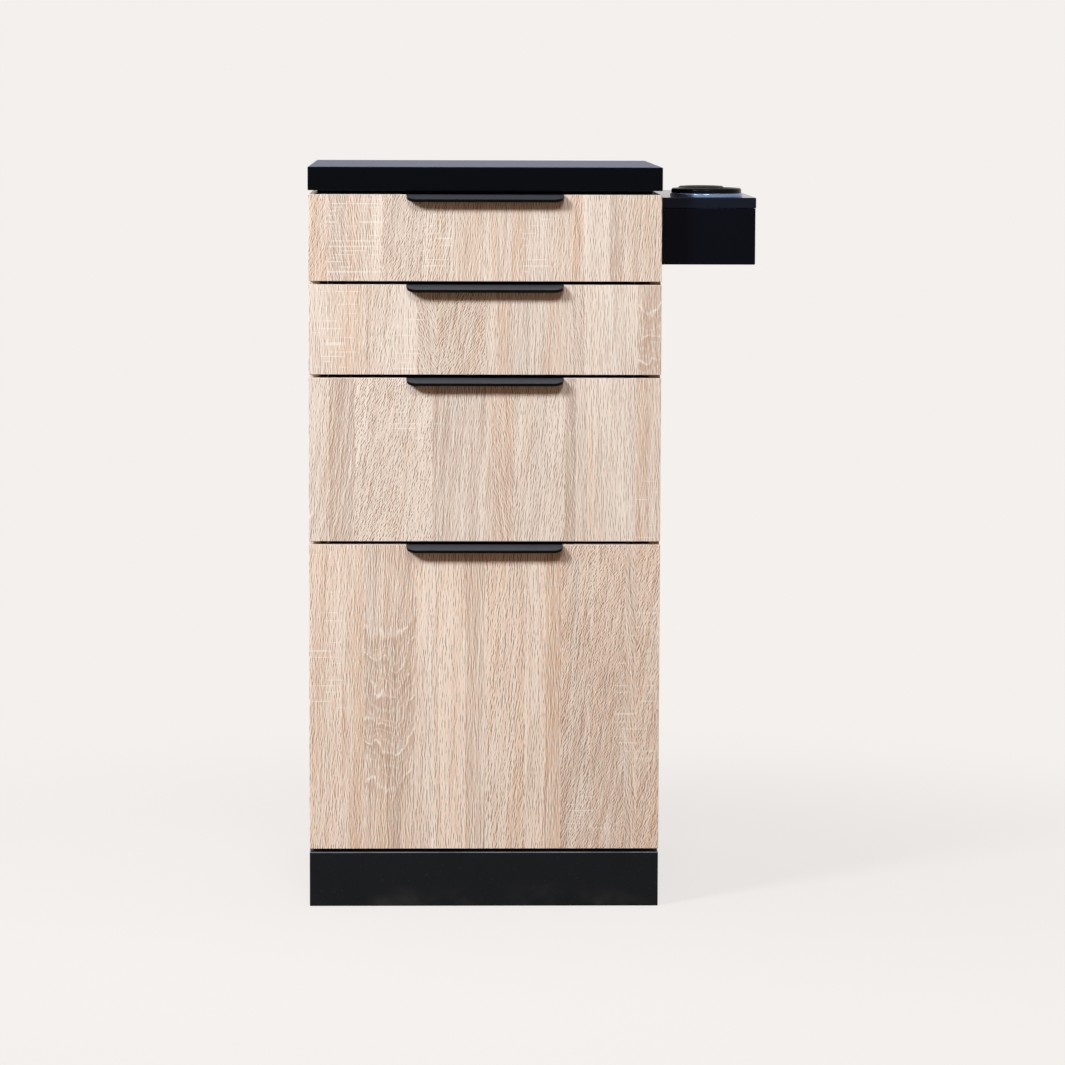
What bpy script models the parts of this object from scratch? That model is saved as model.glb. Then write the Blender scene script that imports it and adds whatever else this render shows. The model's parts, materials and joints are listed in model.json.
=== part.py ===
"""A four-drawer salon trolley with a tool holder on its right side.

Oak-laminate carcass and drawer fronts, black worktop, plinth, edge pulls and holder.
Units are metres, +Z is up, the drawers open towards -Y and the holder stands out at +X.
The origin is the centre of the whole outline, on the floor.
"""

from math import atan2, cos, pi, radians, sin

import bmesh
import bpy
from mathutils import Vector

# Clearances between pieces
FIT_GAP = 0.0003
RUN_GAP = 0.0004
FRONT_STANDOFF = 0.002
REVEAL = 0.004
REAR_ROOM = 0.0197

# Carcass
BODY_WIDTH = 0.3985
PANEL = 0.0125
BACK_PANEL = 0.006
BACK_RECESS = 0.004
EDGE_RADIUS = 0.0008

# Plinth
PLINTH_HEIGHT = 0.0625
PLINTH_BOARD = 0.016

# Worktop, and the recessed board that lifts it off the carcass
TOP_THICKNESS = 0.0265
TOP_OVERHANG = 0.0008
SPACER_HEIGHT = 0.0045
SPACER_INSET = 0.0095
SPACER_SETBACK = 0.006

# Drawer fronts
FRONT_THICKNESS = 0.018
TOP_FRONT_HEIGHT = 0.0975
UPPER_FRONT_HEIGHT = 0.1015
MIDDLE_FRONT_HEIGHT = 0.1855
BOTTOM_FRONT_HEIGHT = 0.3495

# Drawer boxes
BOX_LENGTH = 0.350
BOX_BOARD = 0.012
BOX_FLOOR = 0.006
BOX_RISE = 0.013
BOX_DROP = 0.020

# Drawer slides: a runner on the carcass, and a rail on the drawer that is nested in it
SLIDE_SPACE = 0.0127
SLIDE_SHEET = 0.0015
SLIDE_CLEAR = 0.0024
RUNNER_HEIGHT = 0.036
SLIDE_LIFT = 0.008
SLIDE_SETBACK = 0.002

# Edge pulls: a strip let into the top edge of each front and bent down at both ends
PULL_LENGTH = 0.177
PULL_SHEET = 0.0034
PULL_REACH = 0.0147
PULL_DROP = 0.0048
PULL_LEG = 0.022
PULL_CORNER = 0.0115
PULL_BEND = 0.0020

# Tool holder on the right side panel
HOLDER_HEIGHT = 0.076
HOLDER_LID = 0.012
HOLDER_WALL = 0.004
HOLDER_SETBACK = 0.030
HOLDER_DROP = 0.0035
HOLDER_SIDE_MARGIN = 0.01285
HOLDER_FRONT_MARGIN = 0.00275
HOLDER_SHELF = 0.162
LID_OVERHANG = 0.0006

# The holder's two round mouths, for a dryer and for a hot iron
DRYER_BORE = 0.033
IRON_BORE = 0.0195
MOUTH_GAP = 0.02675
COLLAR_WIDTH = 0.00825
COLLAR_FLANGE = 0.0043
COLLAR_NECK = 0.0022
COLLAR_TAIL = 0.004
RIM_WIDTH = 0.0070
RIM_HEIGHT = 0.0055
RIM_ROUND = 0.0026

# Screws that hold the holder to the side panel
SCREW_RADIUS = 0.0025
SCREW_HEAD_RADIUS = 0.0055
SCREW_HEAD = 0.003
SCREW_COVER = 0.003
SCREW_INSET = 0.080

# Facets of the rounded shapes
EDGE_SEGMENTS = 2
BEND_STEPS = 3
CORNER_STEPS = 6
ROUND_STEPS = 3
RING_STEPS = 40
SCREW_STEPS = 16
CUT_MARGIN = 0.004

# Heights, depths and widths that several pieces share
FRONT_HEIGHTS = {
    "bottom_drawer": BOTTOM_FRONT_HEIGHT,
    "middle_drawer": MIDDLE_FRONT_HEIGHT,
    "upper_drawer": UPPER_FRONT_HEIGHT,
    "top_drawer": TOP_FRONT_HEIGHT,
}
BODY_BASE = PLINTH_HEIGHT + FIT_GAP
BODY_TOP = PLINTH_HEIGHT + sum(height + REVEAL for height in FRONT_HEIGHTS.values())
BODY_FRONT = FRONT_THICKNESS + FRONT_STANDOFF
BOX_NEAR = FRONT_THICKNESS + FIT_GAP
BOX_FAR = BOX_NEAR + BOX_LENGTH
BODY_DEPTH = BOX_FAR + REAR_ROOM + BACK_PANEL + BACK_RECESS
BODY_HALF = BODY_WIDTH / 2
INNER_HALF = BODY_HALF - PANEL
BOX_HALF = INNER_HALF - SLIDE_SPACE
PULL_BACK = BOX_NEAR + PULL_SHEET
PULL_SLOPE = atan2(PULL_DROP, PULL_REACH)
PULL_TIP = PULL_REACH + PULL_SHEET / 2 * sin(PULL_SLOPE)
DRYER_COLLAR = DRYER_BORE + COLLAR_WIDTH
IRON_COLLAR = IRON_BORE + COLLAR_WIDTH
HOLDER_LEFT = BODY_HALF + FIT_GAP
HOLDER_RIGHT = HOLDER_LEFT + 2 * (DRYER_COLLAR + HOLDER_SIDE_MARGIN)
HOLDER_TOP = BODY_TOP - HOLDER_DROP
DRYER_DEPTH = HOLDER_SETBACK + HOLDER_FRONT_MARGIN + DRYER_COLLAR
IRON_DEPTH = DRYER_DEPTH + DRYER_COLLAR + MOUTH_GAP + IRON_COLLAR
HOLDER_REAR = IRON_DEPTH + IRON_COLLAR + HOLDER_SHELF

# The outline's centre on the floor, measured from the middle of the drawer fronts' faces
OUTLINE_LOW = Vector((-BODY_HALF - TOP_OVERHANG, -PULL_TIP, 0))
OUTLINE_HIGH = Vector((HOLDER_RIGHT, BODY_DEPTH + TOP_OVERHANG, 0))
ORIGIN = (OUTLINE_LOW + OUTLINE_HIGH) / 2


def clear_scene():
    for obj in list(bpy.data.objects):
        bpy.data.objects.remove(obj, do_unlink=True)


def make_collection(name):
    collection = bpy.data.collections.new(name)
    bpy.context.scene.collection.children.link(collection)
    return collection


def make_material(name, colour, roughness, metallic=0.0):
    material = bpy.data.materials.new(name)
    material.use_nodes = True
    shader = material.node_tree.nodes["Principled BSDF"]
    shader.inputs["Base Color"].default_value = (*colour, 1.0)
    shader.inputs["Roughness"].default_value = roughness
    shader.inputs["Metallic"].default_value = metallic
    return material


clear_scene()
PARTS = make_collection("salon_trolley")
CUTTERS = make_collection("cutters")
OAK = make_material("oak_laminate", (0.74, 0.59, 0.48), 0.55)
BLACK_LAMINATE = make_material("black_laminate", (0.008, 0.008, 0.009), 0.45)
BLACK_GLOSS = make_material("black_gloss_plastic", (0.006, 0.007, 0.009), 0.18)
BLACK_METAL = make_material("black_aluminium", (0.03, 0.03, 0.033), 0.42, 0.6)
BLACK_RUBBER = make_material("black_rubber", (0.008, 0.008, 0.008), 0.38)
DARK_STEEL = make_material("dark_steel", (0.16, 0.19, 0.24), 0.22, 0.9)
ZINC = make_material("zinc_steel", (0.55, 0.56, 0.57), 0.35, 0.9)
GREY_BOARD = make_material("grey_board", (0.09, 0.09, 0.092), 0.5)


def make_frame(name, location, parent=None):
    """An empty that carries a group of pieces."""
    frame = bpy.data.objects.new(name, None)
    PARTS.objects.link(frame)
    frame.parent = parent
    frame.location = location
    return frame


def place(name, shape, parent, location, material, collection=PARTS):
    """Turns a bmesh into a named object."""
    mesh = bpy.data.meshes.new(name)
    shape.to_mesh(mesh)
    shape.free()
    mesh.materials.append(material)
    obj = bpy.data.objects.new(name, mesh)
    collection.objects.link(obj)
    obj.parent = parent
    obj.location = location
    return obj


def ease_edges(obj):
    bevel = obj.modifiers.new("eased_edges", "BEVEL")
    bevel.width = EDGE_RADIUS
    bevel.segments = EDGE_SEGMENTS
    obj.data.shade_smooth()
    obj.data.set_sharp_from_angle(angle=radians(50))


def block(size):
    shape = bmesh.new()
    bmesh.ops.create_cube(shape, size=1.0)
    bmesh.ops.scale(shape, vec=size, verts=shape.verts)
    return shape


def board(name, low, high, parent, material, eased=False):
    """A flat board between two corners."""
    low = Vector(low)
    high = Vector(high)
    obj = place(name, block(high - low), parent, (low + high) / 2, material)
    if eased:
        ease_edges(obj)
    return obj


def bent_sheet(name, rows, sheet, parent, location, material):
    """A strip along X. Each row of its middle surface is (half its length, y, z)."""
    shape = bmesh.new()
    bmesh.ops.create_grid(shape, x_segments=1, y_segments=len(rows) - 1, size=1.0)
    shape.verts.ensure_lookup_table()
    for index, (half, y, z) in enumerate(rows):
        shape.verts[2 * index].co = (-half, y, z)
        shape.verts[2 * index + 1].co = (half, y, z)
    obj = place(name, shape, parent, location, material)
    solidify = obj.modifiers.new("sheet", "SOLIDIFY")
    solidify.thickness = sheet
    solidify.offset = 0.0
    solidify.use_even_offset = True
    obj.data.shade_smooth()
    obj.data.set_sharp_from_angle(angle=radians(40))
    return obj


def turned(name, profile, steps, parent, location, material):
    """A round piece from a closed profile of (radius, z) points, turned about its own Z."""
    shape = bmesh.new()
    points = [shape.verts.new((radius, 0, z)) for radius, z in profile]
    for first, second in zip(points, points[1:] + points[:1]):
        shape.edges.new((first, second))
    obj = place(name, shape, parent, location, material)
    screw = obj.modifiers.new("turn", "SCREW")
    screw.steps = steps
    screw.render_steps = steps
    screw.merge_threshold = 0.00001
    screw.use_merge_vertices = True
    screw.use_smooth_shade = True
    return obj


def cut(obj, shape, centre):
    """Takes a shape out of a piece."""
    count = len(obj.modifiers)
    cutter = place(f"{obj.name}_cutter_{count}", shape, obj.parent, centre, obj.data.materials[0], CUTTERS)
    cutter.hide_render = True
    cutter.display_type = "WIRE"
    boolean = obj.modifiers.new("cut", "BOOLEAN")
    boolean.operation = "DIFFERENCE"
    boolean.object = cutter
    return cutter


def drill(obj, radius, depth, centre, steps, along_x=False):
    """Cuts a round hole of this depth, its middle at centre, along Z or along X."""
    shape = bmesh.new()
    bmesh.ops.create_cone(shape, cap_ends=True, segments=steps, radius1=radius, radius2=radius, depth=depth)
    cutter = cut(obj, shape, centre)
    cutter.rotation_euler.y = pi / 2 if along_x else 0.0


def arc(centre, radius, start, end, steps):
    """Points along an arc in a plane, its angles in degrees."""
    angles = [radians(start + (end - start) * step / steps) for step in range(steps + 1)]
    return [(centre[0] + radius * cos(a), centre[1] + radius * sin(a)) for a in angles]


def build_plinth(trolley):
    rear = BODY_DEPTH - PLINTH_BOARD
    low = (-BODY_HALF, 0, 0)
    high = (BODY_HALF, PLINTH_BOARD, PLINTH_HEIGHT)
    board("plinth_front", low, high, trolley, BLACK_LAMINATE, eased=True)
    low = (-BODY_HALF, rear, 0)
    high = (BODY_HALF, BODY_DEPTH, PLINTH_HEIGHT)
    board("plinth_back", low, high, trolley, BLACK_LAMINATE)
    for side, sign in (("left", -1), ("right", 1)):
        edges = sorted((sign * BODY_HALF, sign * (BODY_HALF - PLINTH_BOARD)))
        low = (edges[0], PLINTH_BOARD + FIT_GAP, 0)
        high = (edges[1], rear - FIT_GAP, PLINTH_HEIGHT)
        board(f"plinth_{side}", low, high, trolley, BLACK_LAMINATE)


def build_carcass(trolley):
    """Two side panels with a base, a top and a back panel between them."""
    inner = INNER_HALF - FIT_GAP
    for side, sign in (("left", -1), ("right", 1)):
        edges = sorted((sign * BODY_HALF, sign * INNER_HALF))
        low = (edges[0], BODY_FRONT, BODY_BASE)
        high = (edges[1], BODY_DEPTH, BODY_TOP)
        board(f"{side}_side_panel", low, high, trolley, OAK, eased=True)
    base_top = BODY_BASE + PANEL
    ceiling = BODY_TOP - PANEL
    board("base_panel", (-inner, BODY_FRONT, BODY_BASE), (inner, BODY_DEPTH, base_top), trolley, OAK)
    top_front = PULL_BACK + FRONT_STANDOFF
    board("carcass_top", (-inner, top_front, ceiling), (inner, BODY_DEPTH, BODY_TOP), trolley, OAK)
    rear = BODY_DEPTH - BACK_RECESS
    low = (-inner, rear - BACK_PANEL, base_top + FIT_GAP)
    high = (inner, rear, ceiling - FIT_GAP)
    board("back_panel", low, high, trolley, GREY_BOARD)


def build_worktop(trolley):
    half = BODY_HALF - SPACER_INSET
    top = BODY_TOP + SPACER_HEIGHT
    low = (-half, PULL_BACK + SPACER_SETBACK, BODY_TOP + FIT_GAP)
    high = (half, BODY_DEPTH - SPACER_INSET, top - FIT_GAP)
    board("top_spacer", low, high, trolley, BLACK_LAMINATE)
    half = BODY_HALF + TOP_OVERHANG
    low = (-half, -TOP_OVERHANG, top)
    high = (half, BODY_DEPTH + TOP_OVERHANG, top + TOP_THICKNESS)
    board("worktop", low, high, trolley, BLACK_LAMINATE, eased=True)


def build_holder_box(trolley):
    """A mounting board against the side panel, and a box that is open towards it and at its top."""
    low = Vector((HOLDER_LEFT, HOLDER_SETBACK + LID_OVERHANG, HOLDER_TOP - HOLDER_HEIGHT))
    rear = HOLDER_REAR - LID_OVERHANG
    high = Vector((HOLDER_RIGHT - LID_OVERHANG, rear, HOLDER_TOP - HOLDER_LID - FIT_GAP))
    inner_face = HOLDER_LEFT + HOLDER_WALL
    mounting = board("holder_mounting_board", low, (inner_face, high.y, high.z), trolley, BLACK_GLOSS)
    low.x = inner_face + FIT_GAP
    shape = block(high - low)
    open_faces = [face for face in shape.faces if face.normal.z > 0.5 or face.normal.x < -0.5]
    bmesh.ops.delete(shape, geom=open_faces, context="FACES")
    box = place("holder_box", shape, trolley, (low + high) / 2, BLACK_GLOSS)
    shell = box.modifiers.new("shell", "SOLIDIFY")
    shell.thickness = HOLDER_WALL
    shell.offset = -1.0
    shell.use_even_offset = True
    return mounting


def build_mouth(name, lid, bore, depth):
    """A collar pushed into a hole in the lid, and the rim on top of the collar."""
    centre_x = (HOLDER_LEFT + HOLDER_RIGHT) / 2
    neck = bore + COLLAR_NECK
    lid_middle = HOLDER_TOP - HOLDER_LID / 2
    hole = HOLDER_LID + 2 * CUT_MARGIN
    drill(lid, neck + FIT_GAP, hole, (centre_x, depth, lid_middle), RING_STEPS)
    flange = bore + COLLAR_WIDTH
    tail = -HOLDER_LID - COLLAR_TAIL
    collar = [
        (flange, COLLAR_FLANGE),
        (flange, FIT_GAP),
        (neck, FIT_GAP),
        (neck, tail),
        (bore, tail),
        (bore, COLLAR_FLANGE),
    ]
    seat = (centre_x, depth, HOLDER_TOP)
    turned(f"{name}_collar", collar, RING_STEPS, lid.parent, seat, DARK_STEEL)
    low = COLLAR_FLANGE + FIT_GAP
    high = low + RIM_HEIGHT
    rounding = min(RIM_ROUND, RIM_WIDTH / 2 - FIT_GAP, RIM_HEIGHT - FIT_GAP)
    outer = arc((bore + RIM_WIDTH - rounding, high - rounding), rounding, 90, 0, ROUND_STEPS)
    inner = arc((bore + rounding, high - rounding), rounding, 180, 90, ROUND_STEPS)
    rim = outer + [(bore + RIM_WIDTH, low), (bore, low)] + inner
    turned(f"{name}_rim", rim, RING_STEPS, lid.parent, seat, BLACK_RUBBER)


def build_holder_screws(trolley, mounting, panel):
    """Two screws from inside the holder into the side panel, their heads on the mounting board."""
    bite = FIT_GAP + PANEL - SCREW_COVER
    level = HOLDER_TOP - HOLDER_LID - (HOLDER_HEIGHT - HOLDER_LID) / 2
    seat = HOLDER_LEFT + HOLDER_WALL + FIT_GAP
    profile = [
        (0, SCREW_HEAD),
        (SCREW_HEAD_RADIUS, SCREW_HEAD),
        (SCREW_HEAD_RADIUS, 0),
        (SCREW_RADIUS, 0),
        (SCREW_RADIUS, HOLDER_LEFT - bite - seat),
        (0, HOLDER_LEFT - bite - seat),
    ]
    hole = 2 * (bite + FIT_GAP)
    spots = {
        "front": HOLDER_SETBACK + SCREW_INSET,
        "rear": HOLDER_REAR - SCREW_INSET,
    }
    for name, depth in spots.items():
        screw = turned(
            f"holder_{name}_screw", profile, SCREW_STEPS, trolley, (seat, depth, level), ZINC
        )
        screw.rotation_euler.y = pi / 2
        for drilled in (mounting, panel):
            centre = (HOLDER_LEFT, depth, level)
            drill(drilled, SCREW_RADIUS + FIT_GAP, hole, centre, SCREW_STEPS, along_x=True)


def build_holder(trolley, panel):
    low = (HOLDER_LEFT, HOLDER_SETBACK, HOLDER_TOP - HOLDER_LID)
    high = (HOLDER_RIGHT, HOLDER_REAR, HOLDER_TOP)
    lid = board("holder_lid", low, high, trolley, BLACK_GLOSS, eased=True)
    build_mouth("dryer", lid, DRYER_BORE, DRYER_DEPTH)
    build_mouth("iron", lid, IRON_BORE, IRON_DEPTH)
    mounting = build_holder_box(trolley)
    build_holder_screws(trolley, mounting, panel)


def pull_rows():
    """An edge pull's middle surface, from the foot of its leg over the front's top edge to its lip.

    Zero is the top edge of the front's face, and the pull is flush with it. Seen from above, the lip's
    two corners are rounded.
    """
    crown = -PULL_SHEET / 2
    back = BOX_NEAR + PULL_SHEET / 2
    half = PULL_LENGTH / 2
    rows = [(half, back, -PULL_LEG)]
    bend = arc((back - PULL_BEND, crown - PULL_BEND), PULL_BEND, 0, 90, BEND_STEPS)
    rows += [(half, y, z) for y, z in bend]
    rows += [(half, 0.0, crown)]
    corner = min(PULL_CORNER, PULL_REACH - PULL_SHEET, half)
    plan = arc((half - corner, PULL_REACH - corner), corner, 0, 90, CORNER_STEPS)
    rows += [(x, -reach, crown - PULL_DROP * reach / PULL_REACH) for x, reach in plan]
    return rows


def channel_rows(height, depth, length):
    """A U channel's middle surface, open towards +Y, its back against y = 0."""
    web = SLIDE_SHEET / 2
    edge = height / 2 - web
    return [(length / 2, y, z) for y, z in ((depth, -edge), (web, -edge), (web, edge), (depth, edge))]


def build_slides(name, trolley, drawer, front_bottom):
    """Left and right: a runner on the side panel, and a rail on the box that is nested in it."""
    depth = SLIDE_SPACE - FIT_GAP - SLIDE_CLEAR
    rail_height = RUNNER_HEIGHT - 2 * (SLIDE_SHEET + RUN_GAP)
    level = BOX_RISE + BOX_FLOOR + SLIDE_LIFT + RUNNER_HEIGHT / 2
    middle = BODY_FRONT + SLIDE_SETBACK + BOX_LENGTH / 2
    runner_rows = channel_rows(RUNNER_HEIGHT, depth, BOX_LENGTH)
    rail_rows = channel_rows(rail_height, depth, BOX_LENGTH - 2 * SLIDE_SETBACK)
    for side, sign in (("left", -1), ("right", 1)):
        spot = (sign * (INNER_HALF - FIT_GAP), middle, front_bottom + level)
        runner = bent_sheet(f"{name}_{side}_runner", runner_rows, SLIDE_SHEET, trolley, spot, ZINC)
        runner.rotation_euler.z = sign * pi / 2
        spot = (sign * (BOX_HALF + FIT_GAP), middle - SLIDE_SETBACK, level)
        rail = bent_sheet(f"{name}_{side}_rail", rail_rows, SLIDE_SHEET, drawer, spot, ZINC)
        rail.rotation_euler.z = -sign * pi / 2


def build_box(name, drawer, height):
    """The two sides, the back and the bottom of a drawer, behind its front."""
    floor_top = BOX_RISE + BOX_FLOOR
    wall_low = floor_top + FIT_GAP
    wall_top = height - BOX_DROP
    inner = BOX_HALF - BOX_BOARD
    low = (-BOX_HALF, BOX_NEAR, BOX_RISE)
    high = (BOX_HALF, BOX_FAR, floor_top)
    board(f"{name}_bottom", low, high, drawer, GREY_BOARD)
    for side, sign in (("left", -1), ("right", 1)):
        edges = sorted((sign * BOX_HALF, sign * inner))
        low = (edges[0], BOX_NEAR, wall_low)
        high = (edges[1], BOX_FAR, wall_top)
        board(f"{name}_{side}_side", low, high, drawer, GREY_BOARD)
    reach = inner - FIT_GAP
    low = (-reach, BOX_FAR - BOX_BOARD, wall_low)
    high = (reach, BOX_FAR, wall_top)
    board(f"{name}_back", low, high, drawer, GREY_BOARD)


def build_front(name, drawer, height):
    """A drawer front, its top edge cut down where the pull lies in it."""
    low = (-BODY_HALF, 0, 0)
    high = (BODY_HALF, FRONT_THICKNESS, height)
    front = board(f"{name}_front", low, high, drawer, OAK, eased=True)
    seat = height - PULL_SHEET - FIT_GAP
    size = Vector((PULL_LENGTH + 2 * FIT_GAP, FRONT_THICKNESS + 2 * CUT_MARGIN, height - seat + CUT_MARGIN))
    cut(front, block(size), (0, FRONT_THICKNESS / 2, seat + size.z / 2))


def build_drawer(name, trolley, front_bottom, height):
    drawer = make_frame(f"{name}_frame", (0, 0, front_bottom), trolley)
    build_front(name, drawer, height)
    bent_sheet(f"{name}_handle", pull_rows(), PULL_SHEET, drawer, (0, 0, height), BLACK_METAL)
    build_box(name, drawer, height)
    build_slides(name, trolley, drawer, front_bottom)


def build_trolley():
    trolley = make_frame("trolley_frame", -ORIGIN)
    build_plinth(trolley)
    build_carcass(trolley)
    build_worktop(trolley)
    build_holder(trolley, bpy.data.objects["right_side_panel"])
    front_bottom = PLINTH_HEIGHT + REVEAL
    for name, height in FRONT_HEIGHTS.items():
        build_drawer(name, trolley, front_bottom, height)
        front_bottom += height + REVEAL


build_trolley()
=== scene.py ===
"""The looks of the salon trolley: its finishes, its fine pieces, the studio and the camera."""

import json
from math import cos, hypot, pi, radians, sin

import bmesh
import bpy
from mathutils import Matrix, Vector


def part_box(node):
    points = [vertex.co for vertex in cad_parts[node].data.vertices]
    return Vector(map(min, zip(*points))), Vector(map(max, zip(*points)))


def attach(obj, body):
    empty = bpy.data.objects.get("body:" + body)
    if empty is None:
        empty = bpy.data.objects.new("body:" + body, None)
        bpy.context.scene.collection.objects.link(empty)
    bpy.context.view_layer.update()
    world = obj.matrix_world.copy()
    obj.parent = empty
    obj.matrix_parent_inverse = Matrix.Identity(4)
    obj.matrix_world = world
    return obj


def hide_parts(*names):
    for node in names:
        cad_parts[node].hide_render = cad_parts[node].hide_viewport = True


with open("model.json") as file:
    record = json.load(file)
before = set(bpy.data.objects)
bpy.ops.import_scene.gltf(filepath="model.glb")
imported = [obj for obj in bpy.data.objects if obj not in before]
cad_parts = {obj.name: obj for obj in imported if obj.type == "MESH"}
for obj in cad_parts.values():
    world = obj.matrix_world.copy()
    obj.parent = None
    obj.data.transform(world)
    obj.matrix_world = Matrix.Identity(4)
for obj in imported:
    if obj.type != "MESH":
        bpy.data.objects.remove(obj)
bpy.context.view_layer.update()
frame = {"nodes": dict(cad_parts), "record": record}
NODES = frame["nodes"]
SLOTS = {entry["node"]: entry["material_slot"] for entry in frame["record"]["subparts"]}
BODIES = frame["record"]["behaviour"]["bodies"]
BODY_OF = {node: body for body, nodes in BODIES.items() for node in nodes}
DRAWERS = ("top_drawer", "upper_drawer", "middle_drawer", "bottom_drawer")
SIDES = ("left", "right")

# The foot of the fronts' middle line, from which the camera and the oak's strips are measured
FRONT_LOW, FRONT_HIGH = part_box("bottom_drawer_front")
FACE = Vector(((FRONT_LOW.x + FRONT_HIGH.x) / 2, FRONT_LOW.y, 0.0))

# Camera
SENSOR = 36.0
LENS = 145.33
CLIP_END = 200.0
CAMERA_FROM_FACE = Vector((-0.06212, -4.85308, 0.94349))
CAMERA_YAW = -1.374
CAMERA_PITCH = 6.0366
CAMERA_ROLL = 0.1852

# Studio
LAMP_AIM_HEIGHT = -1.5
LAMP_COLOUR = (0.91, 1.0, 1.05)
KEY_FROM_FACE = Vector((-2.54, -2.33, 2.5))
KEY_SIZE = 1.0
KEY_POWER = 176.0
HEAD_FROM_FACE = Vector((0.10, -2.33, 2.5))
HEAD_SIZE = 0.75
HEAD_POWER = 36.4
FRONT_FILL = (0.165, 0.064, 0.012)
BACK_FILL = (0.55, 0.54, 0.53)
TOP_FILL = (1.10, 1.08, 1.06)
FLOOR_HALF = 60.0
FLOOR_ALBEDO = 0.76
FLOOR_BOUNCE = (0.14, 0.10, 0.07)
FLOOR_GLOW = 0.82
SHADOW_NEAR = 0.35
SHADOW_FAR = 1.25
FLOOR_SEAM = 0.001

# Meshes
SHARP_ANGLE = 35.0
WELD = 0.000001
RING_STEPS = 112
ROUND_STEPS = 8
BEND_STEPS = 6
CORNER_STEPS = 18
SCREW_STEPS = 24

# Boards
FIT_GAP = 0.0003
BOARD_EASE = 0.0004
SLAB_EASE = 0.0011
BOARD_EASE_STEPS = 3
HOLDER_WALL = 0.004
HOLDER_EASE = 0.0012
HOLDER_EASE_STEPS = 3

# Edge pulls, as in the solids but with finer curves
PULL_SHEET = 0.0034
PULL_DROP = 0.0048
PULL_LEG = 0.022
PULL_CORNER = 0.0115
PULL_BEND = 0.0020
PULL_EASE = 0.00015
PULL_EASE_STEPS = 2
PULL_EASE_ANGLE = 50.0
PULL_FIT_ROUNDS = 4
PULL_SCREWS = (-0.06, 0.0, 0.06)

# Drawer slides
SLIDE_SHEET = 0.0015
SLIDE_BEND = 0.0022
SLOT_HALF = 0.0028
SLOT_LENGTH = 0.014
SLOT_PLACES = (0.12, 0.37, 0.63, 0.88)
SLIDE_SCREWS = (0.245, 0.5, 0.755)

# The holder's mouths
COLLAR_WIDTH = 0.00825
COLLAR_FLANGE = 0.0043
COLLAR_NECK = 0.0022
COLLAR_EASE = 0.0014
RIM_WIDTH = 0.0070
RIM_ROUND = 0.0026

# Fasteners
WOOD_SCREW_HEAD = 0.0036
WOOD_SCREW_RISE = 0.0013
CAP_RADIUS = 0.0075
CAP_RISE = 0.0009
CAP_SETBACK = 0.034
CAP_WALL = 0.5
CAP_CROWN = 0.9
CAP_LEVELS = (0.28, 0.72)
BACK_SCREW_EDGE = 0.012
BACK_SCREW_ROWS = 5
HOLDER_SHANK = 0.0025
HOLDER_HEAD = 0.003
SHANK_GAP = 0.00003
THREAD_DEPTH = 0.0005
THREAD_TURNS = 7
THREAD_START = 0.3
THREAD_END = 0.9
THREAD_ROOT = 0.3
THREAD_CREST = 0.7

# A screw head's outline, and its cross recess, as shares of its radius and rise
SCREW_DOME = ((1.0, 0.0), (1.0, 0.25), (0.88, 0.72), (0.66, 1.0))
RECESS_ARM = 0.48
RECESS_HALF = 0.12
RECESS_TAPER = 0.7
RECESS_FLOOR = 0.3


def srgb(red, green, blue):
    """A colour as seen on a screen, 0 to 255, as the linear values a shader takes."""
    channels = [value / 255 for value in (red, green, blue)]
    return tuple(c / 12.92 if c <= 0.04045 else ((c + 0.055) / 1.055) ** 2.4 for c in channels)


BACKDROP = srgb(244, 240, 237)
BLACK = (0.0, 0.0, 0.0)
DUST = srgb(96, 94, 92)
# Painted highlight: the grey-blue laid on black laminate's upward-facing eased edges
EDGE_HIGHLIGHT_TINT = srgb(150, 162, 178)
BOARD_SHEEN = srgb(191, 204, 249)
PLASTIC_SHEEN = srgb(170, 208, 255)
SHEEN_SPREAD = 0.35


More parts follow.
